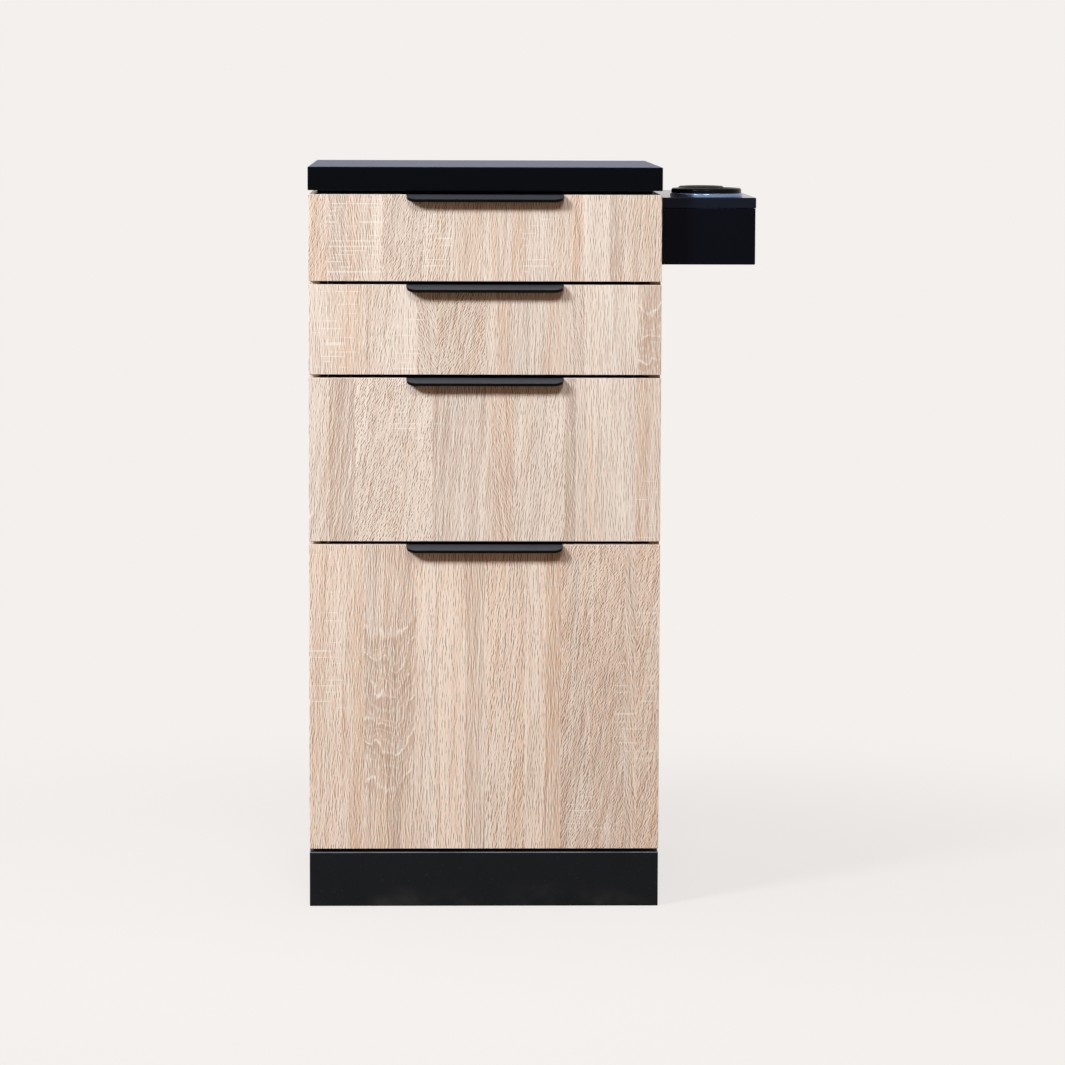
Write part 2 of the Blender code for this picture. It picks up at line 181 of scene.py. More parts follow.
class Graph:
    """Short calls that build a node tree."""

    def __init__(self, tree):
        self.tree = tree
        self.shader = tree.nodes.get("Principled BSDF")

    def put(self, socket, value):
        if isinstance(value, bpy.types.NodeSocket):
            self.tree.links.new(value, socket)
        elif isinstance(value, tuple) and len(value) == 3 and len(socket.default_value) == 4:
            socket.default_value = (*value, 1.0)
        else:
            socket.default_value = value

    def add(self, kind, inputs=None, **settings):
        node = self.tree.nodes.new("ShaderNode" + kind)
        for name, value in settings.items():
            setattr(node, name, value)
        for name, value in (inputs or {}).items():
            self.put(node.inputs[name], value)
        return node

    def set(self, inputs):
        for name, value in inputs.items():
            self.put(self.shader.inputs[name], value)

    def math(self, operation, first, second=0.0, third=0.0):
        return self.add("Math", {0: first, 1: second, 2: third}, operation=operation).outputs[0]

    def product(self, *values):
        total = values[0]
        for value in values[1:]:
            total = self.math("MULTIPLY", total, value)
        return total

    def vector(self, x, y, z=0.0):
        return self.add("CombineXYZ", {0: x, 1: y, 2: z}).outputs[0]

    def place(self, output="Object"):
        """The point on the piece, or its normal, as x, y and z."""
        point = self.add("TexCoord").outputs[output]
        parts = self.add("SeparateXYZ", {0: point}).outputs
        return parts[0], parts[1], parts[2]

    def noise(self, vector, detail=2.0, roughness=0.5, scale=1.0):
        inputs = {"Vector": vector, "Scale": scale, "Detail": detail, "Roughness": roughness}
        return self.add("TexNoise", inputs).outputs["Fac"]

    def patch(self, u, v, per_u, per_v, shift, detail=1.0):
        """Noise over a face, with so many waves a metre each way."""
        return self.noise(self.vector(self.product(u, per_u), self.product(v, per_v), shift), detail)

    def span(self, value, low, high):
        """0 below low, 1 above high and smooth between. It falls where low is the larger."""
        inputs = {"Value": value, "From Min": low, "From Max": high}
        return self.add("MapRange", inputs, interpolation_type="SMOOTHSTEP").outputs["Result"]

    def inside(self, value, low, high, soft):
        """1 between low and high, with soft ends."""
        rise = self.span(value, low - soft, low + soft)
        fall = self.span(value, high + soft, high - soft)
        return self.product(rise, fall)

    def ramp(self, factor, stops, interpolation="LINEAR"):
        """A colour ramp's outputs. A stop's colour may carry a fourth value in its alpha."""
        node = self.add("ValToRGB", {"Fac": factor})
        node.color_ramp.interpolation = interpolation
        elements = node.color_ramp.elements
        while len(elements) < len(stops):
            elements.new(0.5)
        for element, (position, colour) in zip(elements, stops):
            element.position = position
            element.color = colour if len(colour) == 4 else (*colour, 1.0)
        return node.outputs

    def mix(self, factor, first, second):
        node = self.add("Mix", data_type="RGBA")
        self.put(node.inputs["Factor"], factor)
        self.put(node.inputs["A"], first)
        self.put(node.inputs["B"], second)
        return node.outputs["Result"]

    def bump(self, height, strength, distance):
        inputs = {"Height": height, "Strength": strength, "Distance": distance}
        self.put(self.shader.inputs["Normal"], self.add("Bump", inputs).outputs["Normal"])

    def seen(self):
        """1 for rays from the camera, and for those that a glossy or clear surface sends on."""
        rays = self.add("LightPath").outputs
        total = self.math("MAXIMUM", rays["Is Camera Ray"], rays["Is Glossy Ray"])
        return self.math("MAXIMUM", total, rays["Is Transmission Ray"])


def new_material(name):
    material = bpy.data.materials.new(name)
    material.use_nodes = True
    return material, Graph(material.node_tree)


# Oak-look laminate
OAK_LOW = srgb(202, 177, 160)
OAK_HIGH = srgb(240, 225, 212)
OAK_DEEP_LOW = srgb(210, 178, 157)
OAK_DEEP_HIGH = srgb(249, 226, 208)
OAK_WARM = srgb(216, 174, 140)
OAK_GREY = srgb(178, 161, 151)
OAK_PALE = srgb(243, 232, 221)
OAK_PORE = srgb(156, 120, 98)
OAK_CREAM = srgb(249, 239, 227)
OAK_BROWN = srgb(186, 154, 134)
# Painted highlight: the near-white laid on the fronts' upward-facing top edges, as if they catch the lamps
OAK_TOP_HIGHLIGHT = srgb(242, 229, 217)
OAK_BLUSH = srgb(240, 186, 160)
OAK_HALF_SPAN = 0.2
OAK_GRAIN = 1.0
OAK_DEEP_GRAIN = 1.16

# Layers of the weave: threads to the metre, waves to the metre along them, seed, lean, contrast, weight
OAK_WEAVE = (
    (860.0, 115.0, 1.0, 1.0, 0.5, 1.0),
    (940.0, 46.0, 2.0, 0.8, 0.3, 0.7),
    (760.0, 10.0, 3.0, 0.3, 0.0, 0.5),
)
OAK_BLUSH_THREADS = (700.0, 90.0, 8.0, 0.9, 0.0)

# The strips of each face: left edge, lean of the grain to the right, greyness, warmth, tone
STRIPS = {
    # Painted shade: the top drawer's tones are set lower than the other fronts' to offset the stronger
    # lamp light there
    "top_drawer": (
        (-0.200, 0.25, 0.00, 0.80, 0.34),
        (-0.178, -0.20, 1.00, 0.00, 0.20),
        (-0.155, -0.10, 0.10, 0.30, 0.54),
        (-0.116, 0.35, 0.35, 0.05, 0.44),
        (-0.073, 0.20, 0.10, 0.10, 0.60),
        (-0.036, 0.10, 0.05, 0.40, 0.46),
        (0.000, 0.05, 0.00, 0.45, 0.50),
        (0.040, 0.00, 0.30, 0.45, 0.54),
        (0.075, 0.10, 0.00, 0.45, 0.50),
        (0.110, 0.02, 0.00, 0.00, 0.72),
        (0.140, -0.06, 0.45, 0.55, 0.26),
        (0.153, 0.12, 0.05, 0.35, 0.46),
    ),
    "upper_drawer": (
        (-0.200, 0.00, 0.00, 0.20, 0.66),
        (-0.177, 0.03, 0.10, 0.45, 0.56),
        (-0.146, 0.02, 0.00, 0.75, 0.50),
        (-0.138, 0.15, 0.10, 0.15, 0.56),
        (-0.101, 0.00, 0.00, 0.10, 0.72),
        (-0.077, -0.30, 0.42, 0.20, 0.48),
        (-0.055, 0.50, 0.30, 0.20, 0.46),
        (0.000, 0.10, 0.00, 0.10, 0.66),
        (0.014, 0.05, 0.00, 0.90, 0.46),
        (0.027, 0.06, 0.15, 0.15, 0.54),
        (0.067, -0.03, 0.05, 0.40, 0.56),
        (0.097, -0.15, 0.50, 0.16, 0.50),
        (0.112, 0.00, 0.00, 0.05, 0.78),
        (0.173, 0.00, 0.45, 0.55, 0.36),
    ),
    "middle_drawer": (
        (-0.200, 0.12, 0.20, 0.05, 0.68),
        (-0.177, 0.20, 0.60, 0.25, 0.42),
        (-0.147, 0.50, 0.00, 0.20, 0.74),
        (-0.101, 0.28, 0.05, 0.05, 0.76),
        (-0.060, 0.10, 0.55, 0.05, 0.42),
        (0.000, 0.05, 0.15, 0.20, 0.58),
        (0.008, -0.18, 0.00, 1.00, 0.48),
        (0.032, 0.14, 0.05, 0.10, 0.74),
        (0.090, -0.10, 0.80, 0.45, 0.28),
        (0.103, 0.00, 0.20, 0.00, 0.70),
        (0.114, 0.02, 0.00, 0.05, 0.84),
        (0.171, 0.00, 0.15, 1.00, 0.30),
        (0.184, 0.00, 0.00, 0.30, 0.64),
    ),
    "bottom_drawer": (
        (-0.200, 0.05, 0.00, 0.15, 0.68),
        (-0.163, 0.03, 0.20, 0.50, 0.44),
        (-0.137, 0.03, 0.42, 0.34, 0.44),
        (-0.079, 0.02, 0.00, 0.05, 0.80),
        (-0.023, 0.00, 0.58, 0.34, 0.44),
        (0.001, 0.12, 0.00, 0.25, 0.66),
        (0.045, 0.03, 0.00, 0.05, 0.76),
        (0.068, -0.02, 0.15, 1.00, 0.40),
        (0.086, 0.35, 0.34, 0.28, 0.48),
        (0.119, 0.45, 0.40, 0.26, 0.43),
        (0.158, -0.18, 0.25, 0.20, 0.54),
        (0.172, 0.45, 0.15, 0.40, 0.46),
    ),
    "side": (
        (-0.200, 0.04, 0.05, 0.30, 0.60),
        (-0.158, 0.14, 0.25, 0.10, 0.48),
        (-0.079, -0.03, 0.05, 0.50, 0.58),
        (-0.040, 0.10, 0.45, 0.15, 0.42),
        (0.000, 0.32, 0.05, 0.10, 0.62),
        (0.050, 0.00, 0.40, 0.35, 0.44),
        (0.079, -0.10, 0.05, 0.20, 0.70),
        (0.130, 0.06, 0.15, 0.65, 0.48),
        (0.158, 0.12, 0.00, 0.15, 0.62),
    ),
}

# Patches of pale saw marks: left, right, low, high, marks to the metre, strength
SAW_PATCHES = {
    "top_drawer": (
        (-0.177, -0.117, 0.718, 0.812, 210.0, 0.8),
        (-0.075, -0.036, 0.724, 0.778, 170.0, 0.8),
        (0.042, 0.075, 0.715, 0.790, 170.0, 0.9),
    ),
    "upper_drawer": (
        (-0.190, -0.145, 0.618, 0.708, 150.0, 0.9),
        (-0.102, -0.068, 0.612, 0.684, 160.0, 0.9),
    ),
    "middle_drawer": (
        (-0.110, -0.048, 0.530, 0.571, 140.0, 0.9),
        (0.172, 0.197, 0.415, 0.495, 140.0, 1.0),
    ),
    "bottom_drawer": (
        (-0.198, -0.160, 0.222, 0.402, 120.0, 1.0),
        (0.147, 0.198, 0.170, 0.345, 120.0, 0.9),
        (0.096, 0.147, 0.078, 0.131, 140.0, 1.0),
    ),
    "side": (
        (-0.150, -0.100, 0.520, 0.640, 110.0, 0.7),
        (0.090, 0.150, 0.200, 0.330, 110.0, 0.7),
    ),
}

# Figure in V-shaped rings: left, right, low, high, foot of the V, slope to each side, spacing, strength
FIGURES = {
    "upper_drawer": ((0.173, 0.200, 0.600, 0.718, 0.183, 0.7, 0.9, 0.036, 0.75),),
    "middle_drawer": (
        (-0.200, -0.147, 0.415, 0.535, -0.200, 0.0, 3.8, 0.062, 0.55),
        (0.008, 0.032, 0.420, 0.530, 0.008, 4.3, -4.3, 0.050, 0.55),
    ),
    "bottom_drawer": ((-0.137, -0.079, 0.130, 0.330, -0.101, 0.42, 1.55, 0.034, 0.9),),
}


def oak_figure(graph, colour, u, z, seed, figure):
    """Growth rings in nested V shapes, each dark at its top, with a broken pale line along its foot."""
    left, right, low, high, foot, left_slope, right_slope, spacing, strength = figure
    across = graph.inside(u, left, right, 0.0008)
    here = graph.product(across, graph.inside(z, low, high, 0.02), strength)
    aside = graph.math("SUBTRACT", u, foot)
    rise = graph.math("MAXIMUM", graph.product(aside, right_slope), graph.product(aside, -left_slope))
    sway = graph.math("SUBTRACT", graph.patch(u, z, 34.0, 19.0, seed + 8.0, 2.0), 0.5)
    ripple = graph.math("SUBTRACT", graph.patch(u, z, 300.0, 150.0, seed + 9.0, 1.0), 0.5)
    level = graph.math("SUBTRACT", z, rise)
    level = graph.math("MULTIPLY_ADD", sway, 0.065, level)
    level = graph.math("MULTIPLY_ADD", ripple, 0.006, level)
    uneven = graph.math("SUBTRACT", graph.noise(graph.vector(level, seed, 0.0), 0.0, 0.5, 26.0), 0.5)
    ring = graph.math("DIVIDE", graph.math("MULTIPLY_ADD", uneven, 0.045, level), spacing)
    phase = graph.math("FRACT", ring)
    faint = graph.math("FRACT", graph.product(ring, 3.0))
    worn = graph.span(graph.patch(u, z, 70.0, 50.0, seed + 10.0, 2.0), 0.36, 0.60)
    dark = graph.product(graph.math("MULTIPLY_ADD", graph.span(phase, 0.25, 1.0), 0.45, 0.20), here)
    pale = graph.product(graph.inside(phase, 0.05, 0.12, 0.04), worn)
    fine = graph.product(graph.inside(faint, 0.10, 0.30, 0.08), 0.3)
    colour = graph.mix(dark, colour, OAK_BROWN)
    return graph.mix(graph.product(graph.math("MAXIMUM", pale, fine), here), colour, OAK_CREAM)


def oak_lines(graph, along, across, per_metre, seed):
    """Thin straight lines that run along, so many to the metre across, broken into odd lengths."""
    uneven = graph.math("SUBTRACT", graph.noise(graph.vector(across, seed, 0.0), 1.0, 0.5, 70.0), 0.5)
    level = graph.product(graph.math("MULTIPLY_ADD", uneven, 0.012, across), per_metre)
    offset = graph.math("ABSOLUTE", graph.math("SUBTRACT", graph.math("FRACT", level), 0.5))
    line = graph.span(offset, 0.0009 * per_metre, 0.0003 * per_metre)
    row = graph.math("FLOOR", level)
    lengths = graph.noise(graph.vector(graph.product(along, 30.0), graph.product(row, 3.7), seed), 1.0)
    return graph.product(line, graph.span(lengths, 0.46, 0.58))


def oak_saw_marks(graph, colour, u, z, seed, patch):
    """Thin pale marks across the grain, crossed by a few fainter upright ones."""
    left, right, low, high, per_metre, strength = patch
    ragged = graph.math("SUBTRACT", graph.patch(u, z, 60.0, 60.0, seed + 5.0), 0.5)
    edge_u = graph.math("MULTIPLY_ADD", ragged, 0.03, u)
    edge_z = graph.math("MULTIPLY_ADD", ragged, 0.03, z)
    across = graph.inside(edge_u, left, right, 0.006)
    here = graph.product(across, graph.inside(edge_z, low, high, 0.006), strength)
    level = oak_lines(graph, u, z, per_metre, seed + 6.0)
    upright = graph.product(oak_lines(graph, z, u, 130.0, seed + 7.0), 0.4)
    return graph.mix(graph.product(graph.math("MAXIMUM", level, upright), here, 0.5), colour, OAK_CREAM)


def oak_width(graph, x, y, normal_x):
    """The way across a front's face. It goes on round the two ends, so that their grain is upright."""
    turned = graph.span(graph.math("ABSOLUTE", normal_x), 0.6, 0.8)
    width = graph.math("SUBTRACT", x, FACE.x)
    return graph.math("MULTIPLY_ADD", turned, graph.math("SUBTRACT", y, FACE.y), width)


def oak_depth(graph, x, y):
    """The way across a side panel's face. It goes on round the narrow edges."""
    inner = FACE.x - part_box("left_side_panel")[1].x
    aside = graph.math("ABSOLUTE", graph.math("SUBTRACT", x, FACE.x))
    return graph.math("ADD", y, graph.math("SUBTRACT", graph.math("MAXIMUM", aside, inner), inner))


def oak(face, seed, across="x"):
    """Printed oak with upright grain, in strips side by side, under a matt lacquer."""
    material, graph = new_material(f"oak_{face}")
    x, y, z = graph.place()
    normal_x, normal_y, normal_z = graph.place("Normal")
    squareness = graph.math("ABSOLUTE", normal_y if across == "x" else normal_x)
    u = oak_width(graph, x, y, normal_x) if across == "x" else oak_depth(graph, x, y)

    stops = []
    for left, lean, grey, warm, tone in STRIPS[face]:
        stops.append(((left + OAK_HALF_SPAN) / (2 * OAK_HALF_SPAN), (0.5 + lean / 2, grey, warm, tone)))
    along = graph.math("MULTIPLY_ADD", u, 1 / (2 * OAK_HALF_SPAN), 0.5)
    strip = graph.ramp(along, stops, "CONSTANT")
    parts = graph.add("SeparateColor", {0: strip["Color"]}).outputs
    lean = graph.math("MULTIPLY_ADD", parts[0], 2.0, -1.0)
    grey = parts[1]
    warm = parts[2]
    own = graph.math("MULTIPLY_ADD", warm, 17.0, graph.product(grey, 23.0))
    own = graph.math("MULTIPLY_ADD", parts[0], 31.0, own)
    shift = graph.math("ADD", own, seed)

    slant = graph.math("ABSOLUTE", lean)
    run = graph.product(z, graph.math("MULTIPLY_ADD", slant, 4.0, 1.0))
    wander = graph.math("SUBTRACT", graph.patch(u, z, 6.0, 4.0, seed, 0.0), 0.5)
    straight = graph.math("MULTIPLY_ADD", wander, 0.006, u)
    tilt = graph.product(lean, z)
    band = graph.math("MULTIPLY_ADD", tilt, -0.35, graph.math("MULTIPLY_ADD", wander, 0.03, u))

    def thread_tone(thread, per_height, offset):
        return graph.patch(thread, run, 5.37, per_height, graph.math("ADD", shift, offset), 0.0)

    def threads(per_width, per_height, offset, tilted, contrast):
        """Upright threads side by side, light and dark along their length and set off from each other."""
        grain = graph.math("MULTIPLY_ADD", tilt, -tilted, straight)
        thread = graph.math("FLOOR", graph.product(grain, per_width))
        tone = graph.math("SUBTRACT", thread_tone(thread, per_height, offset), 0.5)
        if contrast:
            before = thread_tone(graph.math("SUBTRACT", thread, 1.0), per_height, offset)
            after = thread_tone(graph.math("ADD", thread, 1.0), per_height, offset)
            beside = graph.math("SUBTRACT", graph.math("ADD", before, after), 1.0)
            tone = graph.math("MULTIPLY_ADD", beside, -contrast, tone)
        return tone

    def streaks(per_width, per_height, offset):
        return graph.patch(band, z, per_width, per_height, graph.math("ADD", shift, offset), 2.0)

    weave = 0.0
    for *layer, weight in OAK_WEAVE:
        weave = graph.math("MULTIPLY_ADD", threads(*layer), weight, weave)
    pores = graph.product(graph.span(weave, -0.02, -0.36), graph.math("MULTIPLY_ADD", slant, 1.5, 0.78))
    fibres = graph.span(weave, 0.02, 0.32)
    blush = graph.span(threads(*OAK_BLUSH_THREADS), -0.10, 0.30)
    veins = graph.math("SUBTRACT", streaks(210.0, 4.0, 4.0), 0.5)
    grey_streak = graph.span(streaks(52.0, 1.5, 5.0), 0.48, 0.68)
    warm_streak = graph.span(streaks(60.0, 1.3, 6.0), 0.48, 0.68)
    pale_streak = graph.span(streaks(66.0, 1.8, 7.0), 0.50, 0.70)
    broad = graph.math("SUBTRACT", graph.patch(u, z, 11.0, 6.0, seed + 40.0, 2.0), 0.5)

    tone = graph.math("MULTIPLY_ADD", broad, 0.55, strip["Alpha"])
    tone = graph.math("MULTIPLY_ADD", veins, 0.45, tone)
    plain = (OAK_LOW, OAK_HIGH, OAK_GRAIN)
    deep = (OAK_DEEP_LOW, OAK_DEEP_HIGH, OAK_DEEP_GRAIN)
    low, high, strength = deep if face == "bottom_drawer" else plain
    colour = graph.ramp(tone, ((0.0, low), (1.0, high)))["Color"]
    warmth = graph.math("MULTIPLY_ADD", warm_streak, 0.35, 0.40)
    warmth = graph.math("MULTIPLY_ADD", warm, warmth, graph.product(warm_streak, 0.22))
    colour = graph.mix(warmth, colour, OAK_WARM)
    greyness = graph.math("MULTIPLY_ADD", grey_streak, 0.40, 0.30)
    greyness = graph.math("MULTIPLY_ADD", grey, greyness, graph.product(grey_streak, 0.18))
    colour = graph.mix(greyness, colour, OAK_GREY)
    colour = graph.mix(graph.product(pale_streak, 0.4), colour, OAK_PALE)
    colour = graph.mix(graph.product(blush, 0.16), colour, OAK_BLUSH)
    for figure in FIGURES.get(face, ()):
        colour = oak_figure(graph, colour, u, z, seed, figure)
    colour = graph.mix(graph.product(pores, 0.80 * strength), colour, OAK_PORE)
    colour = graph.mix(graph.product(fibres, 0.60 * strength), colour, OAK_CREAM)
    for patch in SAW_PATCHES[face]:
        colour = oak_saw_marks(graph, colour, u, z, seed, patch)

    band_edge = graph.product(graph.span(squareness, 0.85, 0.35), 0.45)
    colour = graph.mix(band_edge, colour, OAK_PALE)
    # Painted highlight: faces turned upwards, the fronts' top edges, are painted near white as if lit from
    # above
    if across == "x":
        colour = graph.mix(graph.product(graph.span(normal_z, 0.30, 0.70), 0.9), colour, OAK_TOP_HIGHLIGHT)

    relief = graph.math("SUBTRACT", graph.product(fibres, 0.4), pores)
    graph.set({"Base Color": colour, "Roughness": graph.math("MULTIPLY_ADD", pores, 0.18, 0.48)})
    graph.set({"Specular IOR Level": 0.3})
    graph.bump(relief, 0.08, 0.0002)
    return material


def black_board(name, colour, gloss, roughness, dust=0.0, edge_highlight=0.0, sheen=0.0):
    """Black laminate: a fine pressed grain, faint clouds, a patchy painted highlight on upward-facing
    eased edges and a little dust near the floor.
    """
    material, graph = new_material(name)
    x, y, z = graph.place()
    point = graph.vector(x, y, z)
    pressed = graph.noise(point, 3.0, 0.6, 850.0)
    cloud = graph.noise(point, 3.0, 0.6, 16.0)
    shade = graph.math("MULTIPLY_ADD", cloud, 0.5, 0.75)
    finish = graph.mix(shade, BLACK, colour)
    if dust:
        specks = graph.span(graph.noise(point, 2.0, 0.5, 420.0), 0.66, 0.78)
        scuffs = graph.product(graph.span(z, 0.030, 0.002), graph.span(cloud, 0.45, 0.75))
        marks = graph.product(graph.math("MAXIMUM", specks, scuffs), dust)
        finish = graph.mix(marks, finish, DUST)
    # Painted highlight: eased edges that face upwards are painted paler, in patches, as if catching the
    # lamps
    if edge_highlight:
        normal_z = graph.place("Normal")[2]
        rounded = graph.inside(normal_z, 0.25, 0.95, 0.1)
        patchy_highlight = graph.math("MULTIPLY_ADD", graph.span(cloud, 0.30, 0.65), 0.5, 0.5)
        finish = graph.mix(graph.product(rounded, patchy_highlight, edge_highlight), finish, EDGE_HIGHLIGHT_TINT)
    graph.set({"Base Color": finish, "Specular IOR Level": gloss})
    graph.set({"Sheen Weight": sheen, "Sheen Roughness": SHEEN_SPREAD, "Sheen Tint": BOARD_SHEEN})
    graph.set({"Roughness": graph.math("MULTIPLY_ADD", pressed, 0.16, roughness - 0.08)})
    graph.bump(pressed, 0.12, 0.0002)
    return material


def fine_grain(name, colour, roughness, metallic=0.0, gloss=0.5, scale=900.0, stretch=1.0, sheen=0.0):
    """A painted, moulded or plated finish with a grain in its colour, gloss and surface.

    A stretch over 1 draws the grain out along Y, as brushing or rolling does.
    """
    material, graph = new_material(name)
    x, y, z = graph.place()
    point = graph.vector(x, graph.math("DIVIDE", y, stretch), z)
    grain = graph.noise(point, 3.0, 0.6, scale)
    cloud = graph.noise(point, 2.0, 0.5, scale / 40)
    shade = graph.math("MULTIPLY_ADD", grain, 0.35, graph.math("MULTIPLY_ADD", cloud, 0.3, 0.65))
    graph.set({"Base Color": graph.mix(shade, BLACK, colour)})
    graph.set({"Metallic": metallic, "Specular IOR Level": gloss})
    graph.set({"Sheen Weight": sheen, "Sheen Roughness": SHEEN_SPREAD, "Sheen Tint": PLASTIC_SHEEN})
    blur = graph.math("MULTIPLY_ADD", cloud, 0.08, roughness - 0.08)
    graph.set({"Roughness": graph.math("MULTIPLY_ADD", grain, 0.08, blur)})
    graph.bump(grain, 0.15, 0.00012)
    return material


def anodised(name, upper, lower):
    """Black anodised sheet, bead-blasted, with a patchy painted highlight that makes its upper faces
    paler.
    """
    material, graph = new_material(name)
    x, y, z = graph.place()
    point = graph.vector(x, y, z)
    blast = graph.noise(point, 3.0, 0.6, 1400.0)
    cloud = graph.noise(point, 2.0, 0.5, 45.0)
    # Painted highlight: faces turned upwards take the paler upper colour, as if lit from above; the rest
    # stays near black
    lifted = graph.span(graph.place("Normal")[2], 0.25, 0.75)
    patchy_highlight = graph.product(lifted, graph.math("MULTIPLY_ADD", cloud, 0.3, 0.85))
    colour = graph.mix(patchy_highlight, lower, upper)
    shade = graph.math("MULTIPLY_ADD", blast, 0.4, 0.8)
    graph.set({"Base Color": graph.mix(shade, BLACK, colour), "Specular IOR Level": 0.06})
    graph.set({"Roughness": graph.math("MULTIPLY_ADD", blast, 0.14, 0.24)})
    graph.bump(blast, 0.15, 0.0001)
    return material


def make_finishes():
    finishes = {
        "oak_laminate": oak("side", 77.0, "y"),
        "black_laminate": black_board("black_laminate", srgb(2, 4, 6), 0.035, 0.38, sheen=0.56),
        # The plinth's last value is the strength of its painted edge highlight
        "plinth_laminate": black_board("plinth_laminate", srgb(20, 21, 23), 0.08, 0.50, 0.16, 0.55),
        "grey_board": black_board("grey_board", srgb(62, 62, 64), 0.30, 0.50),
        # The first colour is the painted highlight on the pulls' upper faces, the second the sheet's own
        # black
        "black_aluminium": anodised("black_aluminium", srgb(61, 63, 69), srgb(5, 6, 8)),
        "black_gloss_plastic": fine_grain("black_gloss_plastic", srgb(6, 7, 17), 0.13, 0.0, 0.05, 500.0),
        "lid_plastic": fine_grain("lid_plastic", srgb(19, 24, 35), 0.12, 0.0, 0.06, 300.0, sheen=0.16),
        "dark_steel": fine_grain("dark_steel", srgb(126, 146, 180), 0.28, 1.0, 0.5, 700.0),
        "black_rubber": fine_grain("black_rubber", srgb(8, 9, 11), 0.22, 0.0, 0.06, 1200.0),
        "zinc_steel": fine_grain("zinc_steel", srgb(196, 199, 203), 0.30, 1.0, 0.5, 300.0, 12.0),
        "cap_plastic": fine_grain("cap_plastic", srgb(40, 40, 42), 0.42, 0.0, 0.4, 900.0),
    }
    for index, drawer in enumerate(DRAWERS):
        finishes[drawer] = oak(drawer, 10.0 * index + 1.0)
    return finishes


FINISHES = make_finishes()


def dress(node, finish):
    slots = NODES[node].data.materials
    slots.clear()
    slots.append(FINISHES[finish])


def finish_of(node):
    if node.startswith("plinth"):
        return "plinth_laminate"
    if node == "holder_lid":
        return "lid_plastic"
    if node.endswith("_drawer_front"):
        return node.removesuffix("_front")
    return SLOTS[node]


def piece(name, shape, body, finish, replaced=()):
    """Turns a bmesh into a piece that rides on a body."""
    bmesh.ops.recalc_face_normals(shape, faces=shape.faces)
    mesh = bpy.data.meshes.new(name)
    shape.to_mesh(mesh)
    shape.free()
    mesh.materials.append(FINISHES[finish])
    mesh.shade_smooth()
    mesh.set_sharp_from_angle(angle=radians(SHARP_ANGLE))
    obj = bpy.data.objects.new(name, mesh)
    bpy.context.scene.collection.objects.link(obj)
    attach(obj, body)
    if replaced:
        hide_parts(*replaced)
    return obj


def keep_flats_flat(obj):
    """Lets a piece's large faces set the shading where they meet a rounded edge."""
    normals = obj.modifiers.new("normals", "WEIGHTED_NORMAL")
    normals.keep_sharp = True


def arc(centre, radius, start, end, steps):
    """Points along an arc in a plane, its angles in degrees."""
    angles = [radians(start + (end - start) * step / steps) for step in range(steps + 1)]
    return [(centre[0] + radius * cos(a), centre[1] + radius * sin(a)) for a in angles]


def add_turned(shape, outline, place, steps):
    """Adds a closed outline of (radius, height) points, turned about the place's Z."""
    points = [Vector((radius, 0.0, height)) for radius, height in outline]
    rings = []
    for step in range(steps):
        turned = place @ Matrix.Rotation(2 * pi * step / steps, 4, "Z")
        rings.append([shape.verts.new(turned @ point) for point in points])
    count = len(outline)
    for ring, after in zip(rings, rings[1:] + rings[:1]):
        for index in range(count):
            beside = (index + 1) % count
            shape.faces.new((ring[index], ring[beside], after[beside], after[index]))
    made = [vert for ring in rings for vert in ring]
    bmesh.ops.remove_doubles(shape, verts=made, dist=WELD)


def add_screw_head(shape, place, radius, rise):
    """Adds a domed screw head with a cross recess, seated at the place and facing along its Z."""
    turns = [Matrix.Rotation(2 * pi * step / SCREW_STEPS, 4, "Z") for step in range(SCREW_STEPS)]
    rings = []
    for wide, tall in SCREW_DOME:
        point = Vector((wide * radius, 0.0, tall * rise))
        rings.append([shape.verts.new(place @ turn @ point) for turn in turns])
    for low, high in zip(rings, rings[1:]):
        for index in range(SCREW_STEPS):
            beside = (index + 1) % SCREW_STEPS
            shape.faces.new((low[index], low[beside], high[beside], high[index]))
    shape.faces.new(rings[0])
    arm = RECESS_ARM * radius
    half = RECESS_HALF * radius
    corner = ((arm, -half), (arm, half), (half, half))
    mouth = []
    for quarter in range(4):
        turn = Matrix.Rotation(quarter * pi / 2, 4, "Z")
        mouth += [turn @ Vector((x, y, rise)) for x, y in corner]
    top = [shape.verts.new(place @ point) for point in mouth]
    sink = Matrix.Diagonal((RECESS_TAPER, RECESS_TAPER, RECESS_FLOOR, 1.0))
    foot = [shape.verts.new(place @ sink @ point) for point in mouth]
    for index in range(len(top)):
        beside = (index + 1) % len(top)
        shape.faces.new((top[index], top[beside], foot[beside], foot[index]))
    shape.faces.new(foot)
    bounds = []
    for loop in (rings[-1], top):
        bounds += [shape.edges.get(pair) for pair in zip(loop, loop[1:] + loop[:1])]
    bmesh.ops.triangle_fill(shape, use_beauty=True, edges=bounds)


def facing(spot, direction):
    """A place at a point, with its Z along a direction."""
    return Matrix.Translation(spot) @ Vector(direction).to_track_quat("Z", "Y").to_matrix().to_4x4()


def ease_board(node, shape, ease):
    """Eases a shape's edges all round and makes it the board in the node's place."""
    bmesh.ops.bevel(
        shape, geom=shape.edges[:], offset=ease, segments=BOARD_EASE_STEPS, profile=0.5, affect="EDGES"
    )
    board = piece(f"{node}_board", shape, BODY_OF[node], finish_of(node), (node,))
    keep_flats_flat(board)


def make_board(node, ease):
    low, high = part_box(node)
    shape = bmesh.new()
    bmesh.ops.create_cube(shape, size=1.0)
    bmesh.ops.scale(shape, vec=high - low, verts=shape.verts)
    bmesh.ops.translate(shape, vec=(low + high) / 2, verts=shape.verts)
    ease_board(node, shape, ease)


